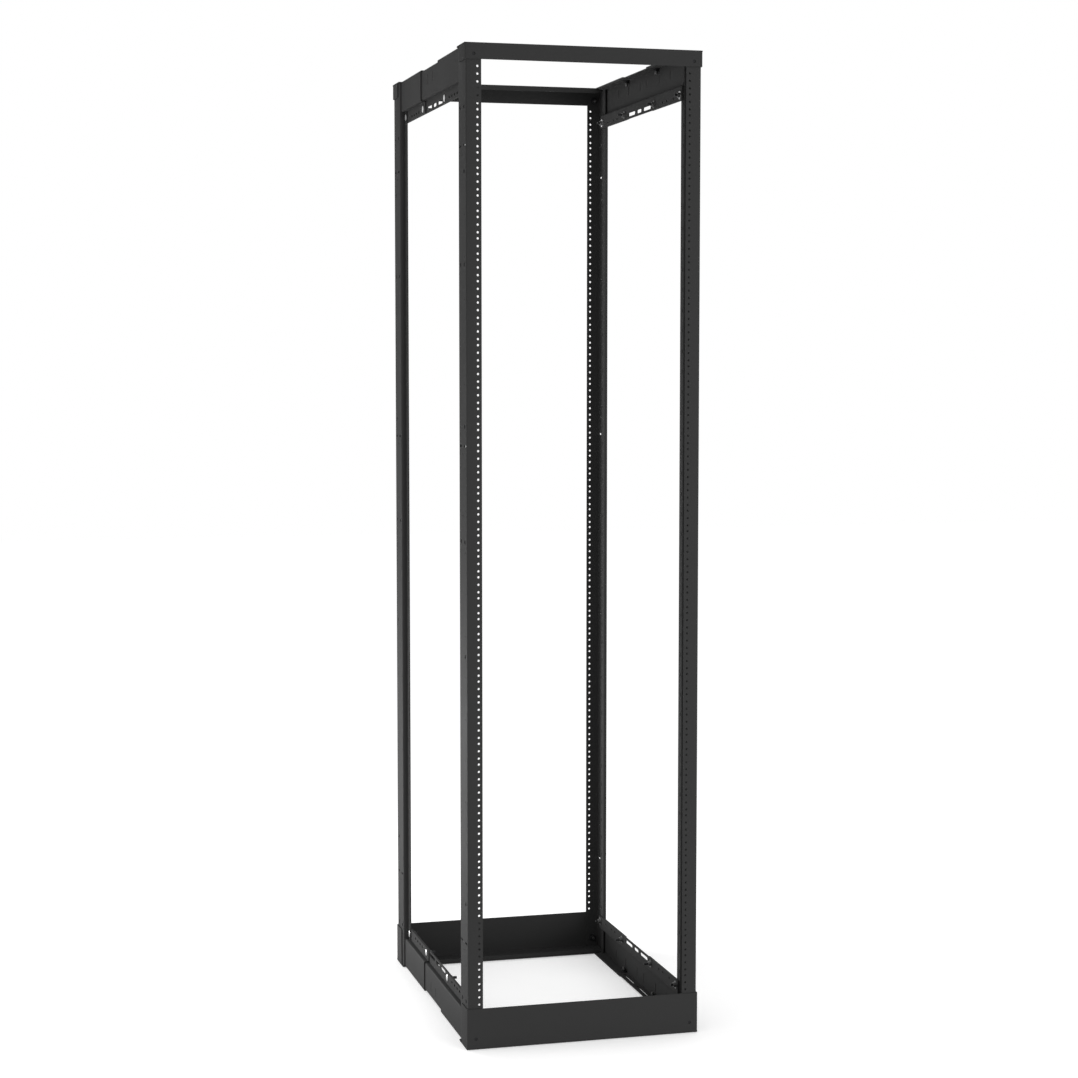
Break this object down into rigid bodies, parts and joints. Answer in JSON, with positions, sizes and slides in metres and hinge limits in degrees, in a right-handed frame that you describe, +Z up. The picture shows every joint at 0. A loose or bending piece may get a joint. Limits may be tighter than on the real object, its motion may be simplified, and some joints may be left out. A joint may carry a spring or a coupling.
{
  "type": "four post open frame rack",
  "caption": "Open steel frame on four folded posts whose flanges carry rows of screw holes for rack-mounted equipment, front and rear.",
  "frame": {"origin": "on the floor, in the middle of the footprint", "axes": "+Z up, +X across the rack to the right as seen from the front, +Y from the front rails to the rear rails"},
  "size_m": [0.52, 0.767, 2.1336],
  "materials": {
    "black_powder_coat": "satin black powder coat"
  },
  "bodies": {
    "root": {"front_left_post": "black_powder_coat", "front_right_post": "black_powder_coat", "front_base_beam": "black_powder_coat", "front_top_beam": "black_powder_coat", "rear_left_post": "black_powder_coat", "rear_right_post": "black_powder_coat", "rear_base_beam": "black_powder_coat", "rear_top_beam": "black_powder_coat", "bottom_left_splice": "black_powder_coat", "bottom_left_front_channel": "black_powder_coat", "bottom_left_rear_channel": "black_powder_coat", "bottom_right_splice": "black_powder_coat", "bottom_right_front_channel": "black_powder_coat", "bottom_right_rear_channel": "black_powder_coat", "top_left_splice": "black_powder_coat", "top_left_front_channel": "black_powder_coat", "top_left_rear_channel": "black_powder_coat", "top_right_splice": "black_powder_coat", "top_right_front_channel": "black_powder_coat", "top_right_rear_channel": "black_powder_coat"}
  },
  "joints": []
}
